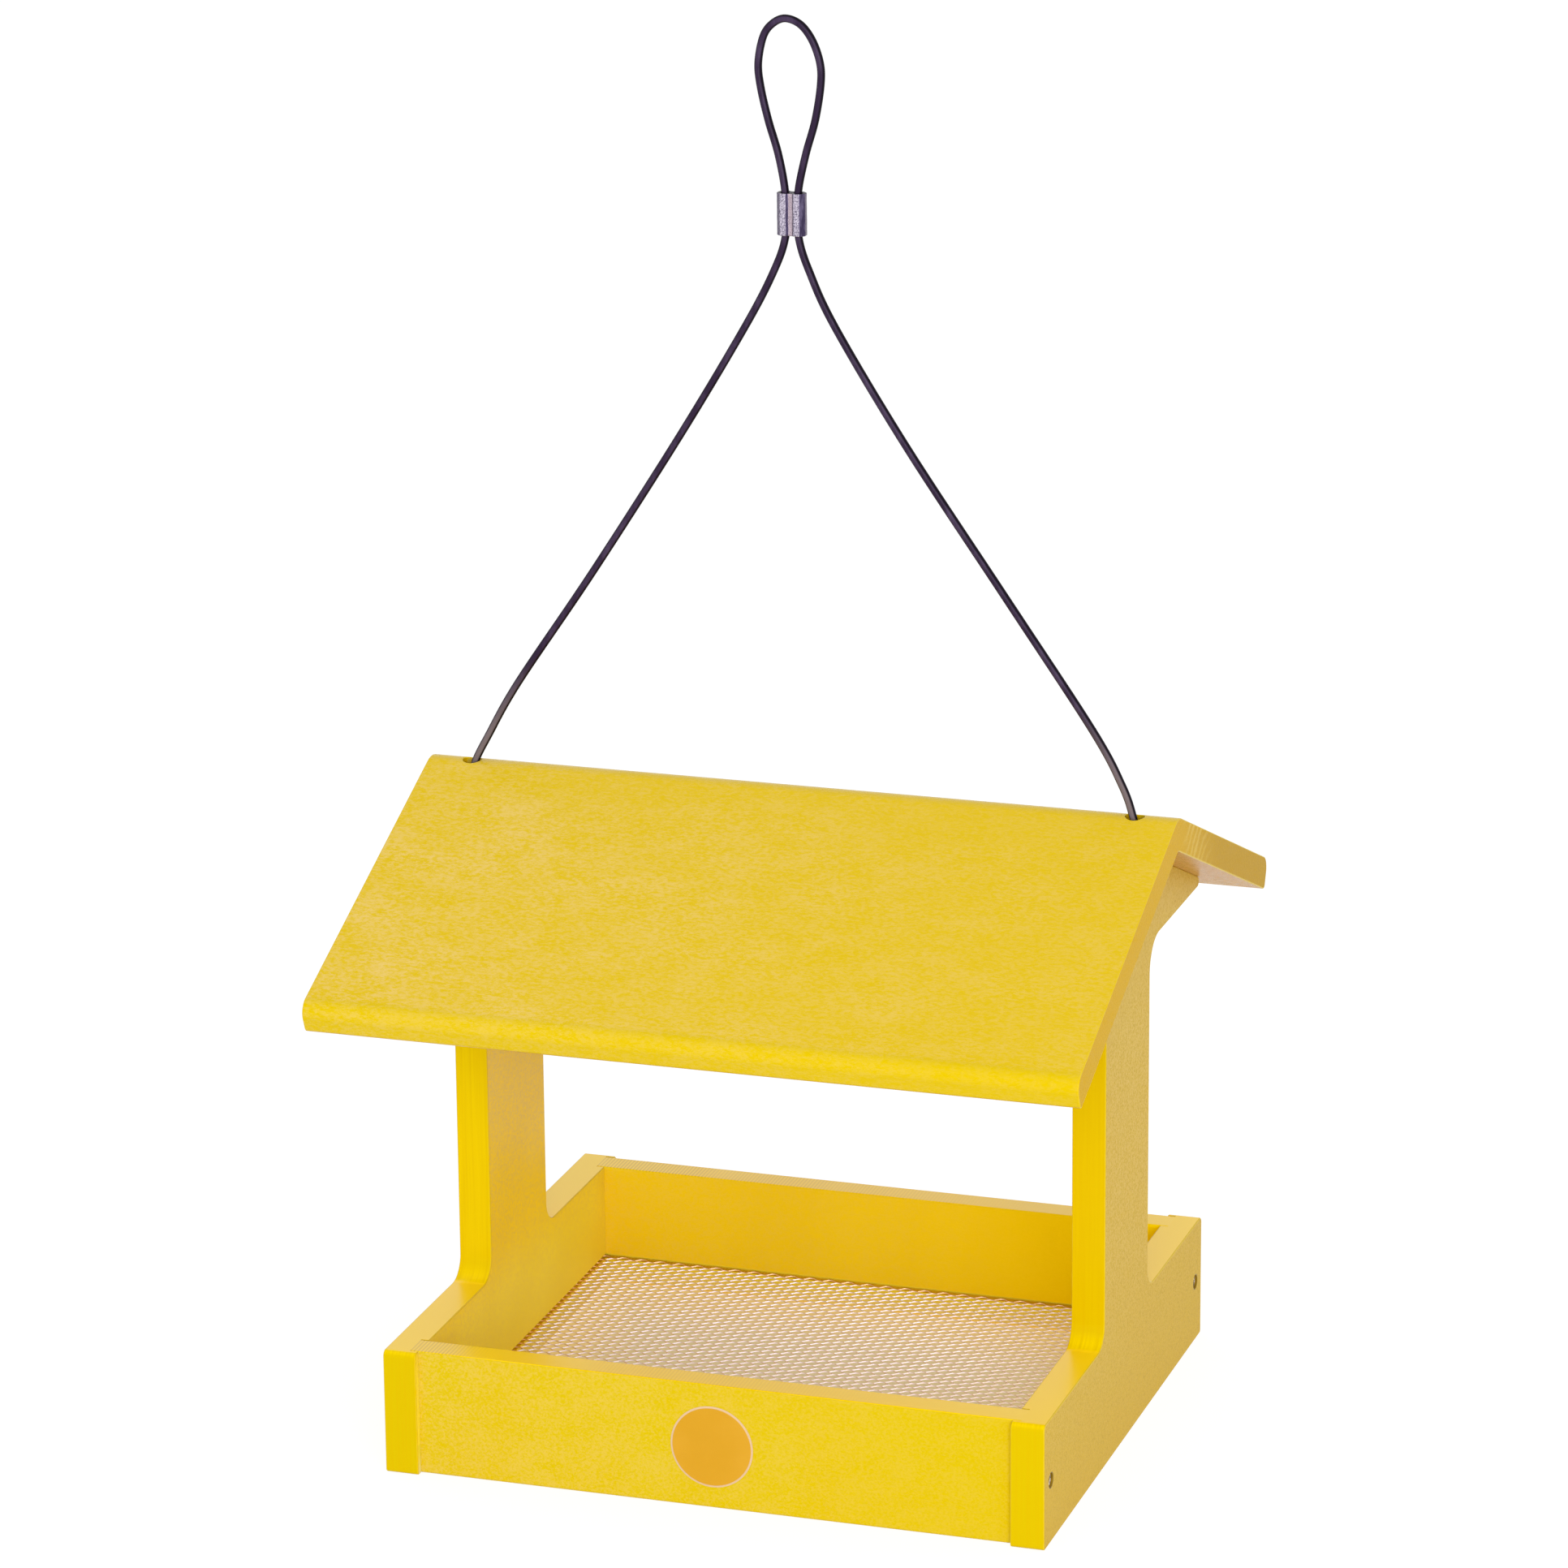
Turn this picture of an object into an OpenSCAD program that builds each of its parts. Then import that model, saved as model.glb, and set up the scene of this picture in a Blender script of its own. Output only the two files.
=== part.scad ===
// Fly-through bird feeder of routed poly boards: two end panels that rise into gables, a tray
// with a screen floor, a one-piece ridge roof that slides up its cable, and the cable itself.
// Frame: +Z up, X along the ridge, front towards -Y, origin under the middle of the tray.

/* [Tray] */
// Width over the outer faces of the two end panels
tray_w = 316; // [296:1:340]
// Depth of the end panels, front to back
tray_d = 278; // [240:1:290]
// Height of the tray sides
tray_h = 60; // [45:1:80]
// Thickness of the two rails
rail_t = 14.7; // [11:0.1:18]
// How far each rail stands back from the panel edges
rail_setback = 3.7; // [2:0.1:8]
// Radius on the four long edges of the rails
rail_edge_r = 1.2; // [0.6:0.1:3]
// Depth of the grooves in the panels that house the rail ends
dado_depth = 4; // [2:0.5:6]
// Play on each side of a rail in its groove
dado_play = 0.1; // [0.05:0.05:0.3]

/* [End panels] */
// Thickness of the panel boards
board_t = 15.9; // [13:0.1:19]
// Depth of the post, front to back
post_w = 76; // [50:1:110]
// Radius in the notch where the post meets the tray side
notch_r = 11; // [5:1:25]
// Radius on the top corners of the tray sides
tray_corner_r = 3; // [1:0.5:8]
// Radius on the foot corners of the tray sides
foot_corner_r = 1.5; // [0.5:0.5:5]
// Height of the gable itself, from its lower edge to its peak
gable_h = 57.5; // [45:0.5:62]
// Radius where the post meets the gable
gable_fillet_r = 16; // [6:1:30]
// Radius on the two tips of the gable
gable_tip_r = 2.5; // [1:0.5:4]
// Height of the gable's peak above the base, before its rounding
peak_z = 289; // [275:1:300]

/* [Roof] */
// How far the roof runs past the outer face of each end panel
roof_overhang = 23; // [12:1:40]
// Slope of the roof from level, in degrees
roof_pitch = 22.7; // [18:0.1:27]
// Length of each slope, from the ridge to the cut at the eave
roof_slope = 184; // [170:1:200]
// Thickness of the roof, square to its slope
roof_t = 15; // [12:0.5:20]
// Radius along the ridge
ridge_r = 14; // [5:1:25]
// Radius inside the roof, under the ridge
valley_r = 5; // [2:1:10]
// Radius on the upper edge of the eave
eave_top_r = 7; // [3:0.5:9]
// Radius on the lower edge of the eave
eave_foot_r = 2.5; // [1:0.5:4]
// Diameter of the two cable holes in the ridge
ridge_hole_d = 9; // [7.5:0.5:10]
// Distance from a panel's outer face to the middle of the ridge hole
ridge_hole_out = 2.5; // [1:0.5:6]

/* [Floor screen] */
// Height of the screen's underside
screen_z = 12; // [6:0.5:20]
// Thickness of the screen over its raised strands
screen_t = 1.6; // [1:0.1:2.5]
// Depth of the saw kerf that holds the screen on its four sides
kerf_depth = 4; // [2:0.5:6]
// Height left over in the kerf above the screen
kerf_play = 0.6; // [0.2:0.1:1.5]
// Play between the screen's edge and the bottom of the kerf
edge_play = 0.5; // [0.2:0.1:1.5]
// Diamonds along the longer rows
mesh_cols = 6; // [4:1:6]
// Rows of diamonds, front to back
mesh_rows = 19; // [11:2:19]
// Width of the strands between the diamonds
strand_w = 3.2; // [1.5:0.1:5]
// Plain border around the diamonds
mesh_border = 5; // [3:0.5:10]

/* [Rail screws] */
// Height of the screws above the base
screw_z = 30; // [20:1:38]
// Diameter of the screw heads
screw_head_d = 6.6; // [5:0.1:8]
// Thickness of the screw heads
screw_head_h = 2.4; // [1.5:0.1:3]
// Depth of the head below the panel's face
screw_sunk = 0.9; // [0.3:0.1:2]
// Diameter of the screw shanks
screw_shank_d = 3.6; // [2.5:0.1:4.5]
// Length of the screws under the head
screw_len = 38; // [30:1:50]
// Play round the heads and the shanks, on the radius
screw_play = 0.1; // [0.05:0.05:0.3]

/* [Hanger cable] */
// Diameter of the coated cable
cable_d = 3.6; // [3:0.1:3.8]
// Play round the cable in its sleeves, on the radius
sleeve_play = 0.3; // [0.2:0.05:0.5]
// Diameter of the slanting bore through each panel
cable_bore_d = 4.8; // [4.4:0.1:6]
// Height at which the bore enters a panel's outer face
cable_bore_z = 266; // [260:1:272]
// Slant of the bore from upright, in degrees
cable_bore_slant = 45; // [35:1:60]
// Diameter of the spot face that seats a stop sleeve
spot_face_d = 9; // [8:0.5:12]
// Depth of the spot face below the panel's inner face, along the bore
spot_face_depth = 5; // [4:0.5:7]
// Diameter of the stop sleeves
stop_d = 7; // [6:0.5:8]
// Length of the stop sleeves
stop_len = 10; // [7:1:14]
// Length of the hexagonal crimp in the middle of a stop sleeve
stop_crimp = 6; // [3:1:6]

/* [Loop ferrule] */
// Width of each barrel of the ferrule
barrel_d = 7; // [6.5:0.5:9]
// Distance between the two barrels' bores
barrel_pitch = 6.4; // [6:0.1:7]
// Thickness of the web between the barrels
web_t = 5.6; // [4:0.2:6.4]
// Length of the ferrule
ferrule_len = 19.5; // [15:0.5:26]

/* [Badge] */
// Diameter of the round badge on the front rail
badge_d = 39.5; // [20:0.5:44]
// Thickness of the badge
badge_t = 0.4; // [0.2:0.1:1]

/* [Hidden] */
// How far a cutting solid runs past the face it opens
past = 1;
// Segments in each rounded corner of an outline
arc_steps = 8;
$fn = 48;

// Outer and inner faces of the right panel
face_x = tray_w / 2;
inner_x = face_x - board_t;

// Rails: inner faces, middle lines and length over the grooves
rail_in_y = tray_d / 2 - rail_setback - rail_t;
rail_y = rail_in_y + rail_t / 2;
rail_len = 2 * (inner_x + dado_depth);
kerf_h = screen_t + kerf_play;

// Roof: its length, the ridge line before rounding, and the two corners of the eave's cut
roof_w = tray_w + 2 * roof_overhang;
down_slope = [cos(roof_pitch), -sin(roof_pitch)];
off_slope = [sin(roof_pitch), cos(roof_pitch)];
ridge_z = peak_z + roof_t / cos(roof_pitch);
eave_top = [0, ridge_z] + roof_slope * down_slope;
eave_foot = eave_top - roof_t * off_slope;
hole_x = face_x + ridge_hole_out;

// Slanting bore: its length through the board, and where along it a stop sleeve seats
bore_len = board_t / sin(cable_bore_slant);
stop_seat = bore_len - spot_face_depth;

// Gable: its tips lie where its level lower edge meets the slope, and its peak clears the valley
gable_z = peak_z - gable_h;
gable_tip_y = gable_h / tan(roof_pitch);
peak_r = valley_r + 1;

// Screen: size in its kerf, and the pitch of the diamonds
screen_w = 2 * (inner_x + kerf_depth - edge_play);
screen_d = 2 * (rail_in_y + kerf_depth - edge_play);
diamond_w = (screen_w - 2 * (kerf_depth + mesh_border)) / mesh_cols;
diamond_d = 2 * (screen_d - 2 * (kerf_depth + mesh_border)) / (mesh_rows + 1);

// Route of the cable as [x, z] points in the plane of the two bores, from the left stop sleeve
// up through the ridge, round the loop and down to the right stop sleeve
loop_route = [
    [-4, 562], [-4, 573], [-4, 584], [-7, 600], [-11.5, 615], [-15, 630], [-16, 641], [-13.5, 653],
    [-9, 659], [-3, 661.5], [4, 659], [9.5, 652], [13, 642], [13.2, 632], [10.5, 616], [6, 600.5],
    [2.4, 584], [2.4, 573], [2.4, 562]
];
left_leg = [
    [-137.5, 245.5], [-145, 253], [-152, 260], [-158, 266], [-161, 270.5], [-162, 277],
    [-162, 286], [-161, 295], [-158.7, 303.5], [-152.5, 315.5], [-136.5, 343.5], [-99, 399],
    [-55, 467.5], [-22.5, 521.5], [-9, 547.5]
];
right_leg = [
    [7, 547.5], [19.5, 521.5], [53.5, 467.5], [99.5, 401.5], [140.5, 342.5], [154.5, 317.5],
    [159.6, 303.5], [161.5, 295], [162, 286], [162, 277], [161, 270.5], [158, 266], [152, 260],
    [145, 253], [137.5, 245.5]
];
cable_route = concat(left_leg, loop_route, right_leg);
// Sides of the cable's tube, and the longest stretch between two of its rings
cable_sides = 8;
ring_gap = 16;
// The ferrule sits round the first and last three points of the loop
ferrule_x = (loop_route[1].x + loop_route[17].x) / 2;
ferrule_z = loop_route[1].y;

// Points of an outline with each corner [x, y, radius] rounded by a true arc
function unit(v) = v / norm(v);
function corner_arc(before, corner, after) =
    let (
        tip = [corner.x, corner.y],
        u = unit([before.x, before.y] - tip),
        w = unit([after.x, after.y] - tip),
        half = acos(u * w) / 2,
        centre = tip + unit(u + w) * corner.z / sin(half),
        start = tip + u * corner.z / tan(half) - centre,
        from = atan2(start.y, start.x),
        swing = (180 - 2 * half) * (cross(u, w) < 0 ? 1 : -1)
    )
    [for (i = [0:arc_steps]) centre + corner.z * [
        cos(from + swing * i / arc_steps),
        sin(from + swing * i / arc_steps)
    ]];
function rounded(corners) =
    let (n = len(corners))
    [for (i = [0:n - 1]) each corner_arc(corners[(i + n - 1) % n], corners[i], corners[(i + 1) % n])];

// The right half of an outline, followed by its mirror image back to the start
function both_halves(half) = concat(half, [
    for (i = [len(half) - 1:-1:0]) if (half[i].x > 0) [-half[i].x, half[i].y, half[i].z]
]);

// A smooth curve through the route's points, and its direction
function route_point(i) = cable_route[max(0, min(len(cable_route) - 1, i))];
function on_route(i, t) =
    let (a = route_point(i - 1), b = route_point(i), c = route_point(i + 1), d = route_point(i + 2))
    b + t * (c - a) / 2 + t * t * (a - 2.5 * b + 2 * c - d / 2) + t * t * t * (1.5 * (b - c) + (d - a) / 2);
function along_route(i, t) =
    let (a = route_point(i - 1), b = route_point(i), c = route_point(i + 1), d = route_point(i + 2))
    unit((c - a) / 2 + 2 * t * (a - 2.5 * b + 2 * c - d / 2) + 3 * t * t * (1.5 * (b - c) + (d - a) / 2));
function steps_from(i) = ceil(norm(route_point(i + 1) - route_point(i)) / ring_gap);
route_stations = concat(
    [for (i = [0:len(cable_route) - 2]) for (j = [0:steps_from(i) - 1]) [i, j / steps_from(i)]],
    [[len(cable_route) - 2, 1]]
);
function cable_ring(station) =
    let (p = on_route(station.x, station.y), d = along_route(station.x, station.y))
    [for (k = [0:cable_sides - 1]) let (a = 360 * k / cable_sides) [
        p.x - d.y * cable_d / 2 * cos(a),
        cable_d / 2 * sin(a),
        p.y + d.x * cable_d / 2 * cos(a)
    ]];

// Draws an outline of [y, z] points and gives it a thickness along +X
module board(thickness) {
    rotate([90, 0, 90])
        linear_extrude(thickness)
            children();
}

// A cylinder along X between two places
module along_x(from, to, d) {
    translate([from, 0, 0])
        rotate([0, 90, 0])
            cylinder(h = to - from, d = d);
}

// Puts its children at the front and the back screw of the right panel
module at_screws() {
    for (side = [-1, 1])
        translate([0, side * rail_y, screw_z])
            children();
}

// Puts a +Z axis along the right panel's slanting bore, down and inwards, starting at its outer face
module along_bore() {
    translate([face_x, 0, cable_bore_z])
        rotate([0, 180 + cable_bore_slant, 0])
            children();
}

// The routed outline: tray side, notched post and gable
module panel_outline() {
    polygon(rounded(both_halves([
        [tray_d / 2, 0, foot_corner_r],
        [tray_d / 2, tray_h, tray_corner_r],
        [post_w / 2, tray_h, notch_r],
        [post_w / 2, gable_z, gable_fillet_r],
        [gable_tip_y, gable_z, gable_tip_r],
        [0, peak_z, peak_r]
    ])));
}

module rail_grooves() {
    groove_w = rail_t + 2 * dado_play;
    for (side = [-1, 1])
        translate([inner_x - past, side * rail_y - groove_w / 2, -past])
            cube([dado_depth + past, groove_w, tray_h + 2 * past]);
}

module screw_holes() {
    at_screws() {
        along_x(inner_x, face_x + past, screw_shank_d + 2 * screw_play);
        along_x(face_x - screw_sunk - screw_head_h, face_x + past, screw_head_d + 2 * screw_play);
    }
}

module right_panel() {
    difference() {
        translate([inner_x, 0, 0])
            board(board_t) panel_outline();
        rail_grooves();
        translate([inner_x - past, -rail_in_y, screen_z])
            cube([kerf_depth + past, 2 * rail_in_y, kerf_h]);
        screw_holes();
        along_bore() {
            translate([0, 0, -spot_face_d])
                cylinder(h = bore_len + 2 * spot_face_d, d = cable_bore_d);
            translate([0, 0, stop_seat])
                cylinder(h = spot_face_depth + spot_face_d, d = spot_face_d);
        }
    }
}

module left_end_panel() {
    color("goldenrod")
        mirror([1, 0, 0]) right_panel();
}

module right_end_panel() {
    color("goldenrod") right_panel();
}

// The back rail, with the kerf for the screen and a pilot hole in each end
module rail() {
    difference() {
        translate([-rail_len / 2, 0, 0])
            board(rail_len) polygon(rounded([
                [rail_in_y, 0, rail_edge_r],
                [rail_in_y + rail_t, 0, rail_edge_r],
                [rail_in_y + rail_t, tray_h, rail_edge_r],
                [rail_in_y, tray_h, rail_edge_r]
            ]));
        translate([-rail_len / 2 - past, rail_in_y - past, screen_z])
            cube([rail_len + 2 * past, kerf_depth + past, kerf_h]);
        for (side = [0, 1])
            mirror([side, 0, 0])
                translate([0, rail_y, screw_z])
                    along_x(face_x - screw_sunk - screw_head_h - screw_len, face_x,
                        screw_shank_d + 2 * screw_play);
    }
}

module front_rail() {
    color("gold")
        mirror([0, 1, 0]) rail();
}

module back_rail() {
    color("gold") rail();
}

// Expanded metal: staggered diamonds whose long way runs with the ridge
module diamond() {
    // The strands run along the diamond's slanting sides, so the gap shrinks on both ways alike
    shrink = 1 - strand_w * norm([diamond_w, diamond_d]) / (diamond_w * diamond_d);
    half_w = diamond_w / 2 * shrink;
    half_d = diamond_d / 2 * shrink;
    polygon([[half_w, 0], [0, half_d], [-half_w, 0], [0, -half_d]]);
}

module floor_screen() {
    color("darkkhaki")
        translate([0, 0, screen_z])
            linear_extrude(screen_t)
                difference() {
                    square([screen_w, screen_d], center = true);
                    for (row = [0:mesh_rows - 1]) {
                        count = mesh_cols - row % 2;
                        for (col = [0:count - 1])
                            translate([
                                (col - (count - 1) / 2) * diamond_w,
                                (row - (mesh_rows - 1) / 2) * diamond_d / 2
                            ])
                                diamond();
                    }
                }
}

// One screw along X: a sunk head with a cross recess, a plain shank and a point
module rail_screw() {
    head_x = face_x - screw_sunk;
    point = screw_shank_d;
    recess_w = screw_head_d / 6;
    recess_l = screw_head_d * 0.6;
    recess_h = screw_head_h * 0.6;
    difference() {
        along_x(head_x - screw_head_h, head_x, screw_head_d);
        for (turn = [0, 90])
            rotate([turn, 0, 0])
                translate([head_x - recess_h, -recess_l / 2, -recess_w / 2])
                    cube([recess_h + past, recess_l, recess_w]);
    }
    along_x(head_x - screw_head_h - screw_len + point, head_x - screw_head_h, screw_shank_d);
    translate([head_x - screw_head_h - screw_len, 0, 0])
        rotate([0, 90, 0])
            cylinder(h = point, d1 = screw_shank_d / 6, d2 = screw_shank_d);
}

module rail_screws() {
    color("silver")
        for (side = [0, 1])
            mirror([side, 0, 0])
                at_screws() rail_screw();
}

// One folded form: rounded ridge, valley fillet and eaves cut square to the slope
module roof() {
    color("gold")
        difference() {
            translate([-roof_w / 2, 0, 0])
                board(roof_w) polygon(rounded(both_halves([
                    [0, peak_z, valley_r],
                    [eave_foot.x, eave_foot.y, eave_foot_r],
                    [eave_top.x, eave_top.y, eave_top_r],
                    [0, ridge_z, ridge_r]
                ])));
            for (side = [-1, 1])
                translate([side * hole_x, 0, peak_z - roof_t])
                    cylinder(h = 3 * roof_t, d = ridge_hole_d);
        }
}

module hanger_cable() {
    rings = len(route_stations);
    color("indigo")
        polyhedron(
            points = [for (station = route_stations) each cable_ring(station)],
            faces = concat(
                [[for (k = [0:cable_sides - 1]) k]],
                [for (i = [0:rings - 2]) for (k = [0:cable_sides - 1])
                    let (next = (k + 1) % cable_sides, here = i * cable_sides) [
                        here + k, here + cable_sides + k, here + cable_sides + next, here + next
                    ]],
                [[for (k = [cable_sides - 1:-1:0]) (rings - 1) * cable_sides + k]]
            )
        );
}

// Double-barrelled sleeve pressed into flats round both legs of the loop
module cable_ferrule() {
    color("darkgray")
        translate([ferrule_x, 0, ferrule_z - ferrule_len / 2])
            linear_extrude(ferrule_len)
                difference() {
                    union() {
                        for (side = [-1, 1])
                            translate([side * barrel_pitch / 2, 0])
                                rotate(22.5) circle(d = barrel_d / cos(22.5), $fn = 8);
                        square([barrel_pitch, web_t], center = true);
                    }
                    for (side = [-1, 1])
                        translate([side * barrel_pitch / 2, 0])
                            circle(d = cable_d + 2 * sleeve_play);
                }
}

// Sleeve on the cable's end, seated in the spot face, with a six-sided crimp at its middle
module stop_sleeve() {
    round_len = (stop_len - stop_crimp) / 2;
    along_bore()
        translate([0, 0, stop_seat])
            difference() {
                union() {
                    cylinder(h = round_len, d = stop_d);
                    translate([0, 0, round_len])
                        cylinder(h = stop_crimp, d = stop_d, $fn = 6);
                    translate([0, 0, round_len + stop_crimp])
                        cylinder(h = round_len, d = stop_d);
                }
                translate([0, 0, -past])
                    cylinder(h = stop_len + 2 * past, d = cable_d + 2 * sleeve_play);
            }
}

module left_cable_stop() {
    color("darkgray")
        mirror([1, 0, 0]) stop_sleeve();
}

module right_cable_stop() {
    color("darkgray") stop_sleeve();
}

module badge_disc() {
    color("darkorange")
        translate([0, -rail_in_y - rail_t, tray_h / 2])
            rotate([90, 0, 0])
                cylinder(h = badge_t, d = badge_d);
}

left_end_panel();
right_end_panel();
front_rail();
back_rail();
floor_screen();
rail_screws();
roof();
hanger_cable();
cable_ferrule();
left_cable_stop();
right_cable_stop();
badge_disc();
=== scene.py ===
import math

import bmesh
import bpy
from mathutils import Matrix, Vector, noise


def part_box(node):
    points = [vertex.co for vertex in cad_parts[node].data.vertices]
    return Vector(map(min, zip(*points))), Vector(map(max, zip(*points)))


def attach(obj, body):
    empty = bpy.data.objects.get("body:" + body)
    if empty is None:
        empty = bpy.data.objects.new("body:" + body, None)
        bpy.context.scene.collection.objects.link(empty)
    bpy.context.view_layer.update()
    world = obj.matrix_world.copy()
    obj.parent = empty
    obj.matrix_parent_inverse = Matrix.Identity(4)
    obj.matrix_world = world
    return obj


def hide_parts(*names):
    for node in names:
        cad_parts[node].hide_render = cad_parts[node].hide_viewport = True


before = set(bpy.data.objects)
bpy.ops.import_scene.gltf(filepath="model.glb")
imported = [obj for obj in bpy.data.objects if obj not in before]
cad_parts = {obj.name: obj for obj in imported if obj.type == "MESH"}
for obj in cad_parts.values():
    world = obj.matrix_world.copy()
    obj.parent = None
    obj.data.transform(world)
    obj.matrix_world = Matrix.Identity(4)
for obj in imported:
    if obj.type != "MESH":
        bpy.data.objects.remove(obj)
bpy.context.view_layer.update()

# Everything is in metres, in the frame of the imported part: X along the ridge, front towards -Y.
MM = 0.001

# The camera at the photograph's place: turned to the left, looking down, with a slight roll
CAMERA_PLACE = (0.900, -2.7627, 1.1870)
CAMERA_TURN = math.radians(18.175)
CAMERA_DIP = math.radians(16.878)
CAMERA_ROLL = math.radians(0.521)
CAMERA_LENS = 151.24
CAMERA_SENSOR = 36
CAMERA_SIGHT = 50

# The cable's route as (x, z) points in the plane y = 0, from its left end to its right end
CABLE_LEFT_LEG = (
    (-0.1375, 0.2455), (-0.145, 0.253), (-0.152, 0.260), (-0.158, 0.266), (-0.161, 0.2705),
    (-0.162, 0.277), (-0.162, 0.286), (-0.161, 0.295), (-0.1587, 0.3035), (-0.1525, 0.3155),
    (-0.1365, 0.3435), (-0.099, 0.399), (-0.055, 0.4675), (-0.0225, 0.5215), (-0.009, 0.5475),
)
CABLE_LOOP = (
    (-0.004, 0.562), (-0.004, 0.573), (-0.004, 0.584), (-0.007, 0.600), (-0.0115, 0.615),
    (-0.015, 0.630), (-0.016, 0.641), (-0.0135, 0.653), (-0.009, 0.659), (-0.003, 0.6615),
    (0.004, 0.659), (0.0095, 0.652), (0.013, 0.642), (0.0132, 0.632), (0.0105, 0.616),
    (0.006, 0.6005), (0.0024, 0.584), (0.0024, 0.573), (0.0024, 0.562),
)
CABLE_RIGHT_LEG = (
    (0.007, 0.5475), (0.0195, 0.5215), (0.0535, 0.4675), (0.0995, 0.4015), (0.1405, 0.3425),
    (0.1545, 0.3175), (0.1596, 0.3035), (0.1615, 0.295), (0.162, 0.286), (0.162, 0.277),
    (0.161, 0.2705), (0.158, 0.266), (0.152, 0.260), (0.145, 0.253), (0.1375, 0.2455),
)
CABLE_D = 3.6 * MM
CABLE_BEVEL_STEPS = 6
CABLE_CURVE_STEPS = 10


def make_camera():
    """The camera at the photograph's viewing angle."""
    data = bpy.data.cameras.new("camera")
    data.lens = CAMERA_LENS
    data.sensor_width = CAMERA_SENSOR
    data.clip_end = CAMERA_SIGHT
    camera = bpy.data.objects.new("camera", data)
    turn = (
        Matrix.Rotation(CAMERA_TURN, 3, "Z")
        @ Matrix.Rotation(math.pi / 2 - CAMERA_DIP, 3, "X")
        @ Matrix.Rotation(-CAMERA_ROLL, 3, "Z")
    )
    camera.matrix_world = Matrix.Translation(CAMERA_PLACE) @ turn.to_4x4()
    bpy.context.collection.objects.link(camera)
    bpy.context.scene.camera = camera


def linear(red, green, blue):
    """A colour given as it looks on screen, from 0 to 255, for a shader."""
    share = [value / 255 for value in (red, green, blue)]
    return (*[s / 12.92 if s < 0.04045 else ((s + 0.055) / 1.055) ** 2.4 for s in share], 1)


class Shader:
    """One material, and short calls that add nodes to it."""

    def __init__(self, name):
        self.material = bpy.data.materials.new(name)
        self.material.use_nodes = True
        self.tree = self.material.node_tree
        self.surface = self.tree.nodes["Principled BSDF"]
        self.place = self.add("ShaderNodeTexCoord").outputs["Object"]

    def add(self, kind, inputs=None, **settings):
        """A new node with its settings and with its inputs fed."""
        made = self.tree.nodes.new(kind)
        for name, value in settings.items():
            setattr(made, name, value)
        for key, value in (inputs or {}).items():
            self.feed(made.inputs[key], value)
        return made

    def feed(self, socket, value):
        """Links a socket to another node's output, or sets its own value."""
        if isinstance(value, bpy.types.NodeSocket):
            self.tree.links.new(value, socket)
        else:
            socket.default_value = value

    def math(self, operation, a, b=0.0):
        """A sum, product or other operation on two numbers."""
        return self.add("ShaderNodeMath", {0: a, 1: b}, operation=operation).outputs[0]

    def plus(self, a, b):
        """The sum of two numbers."""
        return self.math("ADD", a, b)

    def minus(self, a, b):
        """The first number less the second."""
        return self.math("SUBTRACT", a, b)

    def times(self, a, b):
        """The product of two numbers."""
        return self.math("MULTIPLY", a, b)

    def larger(self, a, b):
        """The larger of two numbers."""
        return self.math("MAXIMUM", a, b)

    def unsigned(self, a):
        """A number without its sign."""
        return self.math("ABSOLUTE", a)

    def reach(self, across, up):
        """How far off a point lies that is so far across and so far up."""
        squares = [self.math("POWER", offset, 2) for offset in (across, up)]
        return self.math("SQRT", self.plus(*squares))

    def stripes(self, along, pitch):
        """Soft stripes along a direction, a pitch apart, from 0 to 1."""
        wave = self.math("SINE", self.times(along, 2 * math.pi / pitch))
        return self.times(self.plus(wave, 1), 0.5)

    def mix(self, share, a, b):
        """Colour a where share is 0, and b where it is 1."""
        made = self.add("ShaderNodeMix", {0: share, 6: a, 7: b}, data_type="RGBA")
        return made.outputs[2]

    def rise(self, value, low, high, to=1.0):
        """Climbs smoothly from 0 to its top value as a value goes from low to high."""
        inputs = {"Value": value, "From Min": low, "From Max": high, "To Max": to}
        made = self.add("ShaderNodeMapRange", inputs, interpolation_type="SMOOTHSTEP")
        return made.outputs[0]

    def noise(self, size, stretch=(1, 1, 1), detail=4.0, roughness=0.5):
        """Random clouds of a size in metres, drawn out along the axes by a stretch."""
        scale = [1 / (size * length) for length in stretch]
        place = self.add("ShaderNodeMapping", {"Vector": self.place, "Scale": scale}).outputs[0]
        inputs = {"Vector": place, "Scale": 1.0, "Detail": detail, "Roughness": roughness}
        return self.add("ShaderNodeTexNoise", inputs).outputs[0]

    def split(self, vector):
        """The x, y and z of a vector."""
        return self.add("ShaderNodeSeparateXYZ", {0: vector}).outputs

    def normal(self, axis):
        """How far the surface faces along an axis, from -1 to 1."""
        return self.split(self.add("ShaderNodeNewGeometry").outputs["Normal"])["XYZ".index(axis)]

    def facing(self, axis):
        """1 on faces square to an axis, either way round, and 0 on the others."""
        return self.rise(self.unsigned(self.normal(axis)), 0.7, 0.85)

    def bump(self, height, depth):
        """Gives the surface a relief, its depth in metres."""
        made = self.add("ShaderNodeBump", {"Height": height, "Distance": depth})
        self.feed(self.surface.inputs["Normal"], made.outputs[0])

    def set(self, **values):
        """Sets the surface's own sockets, with _ for a space in a name."""
        for name, value in values.items():
            self.feed(self.surface.inputs[name.replace("_", " ")], value)


WHITE = (1, 1, 1, 1)

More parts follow.
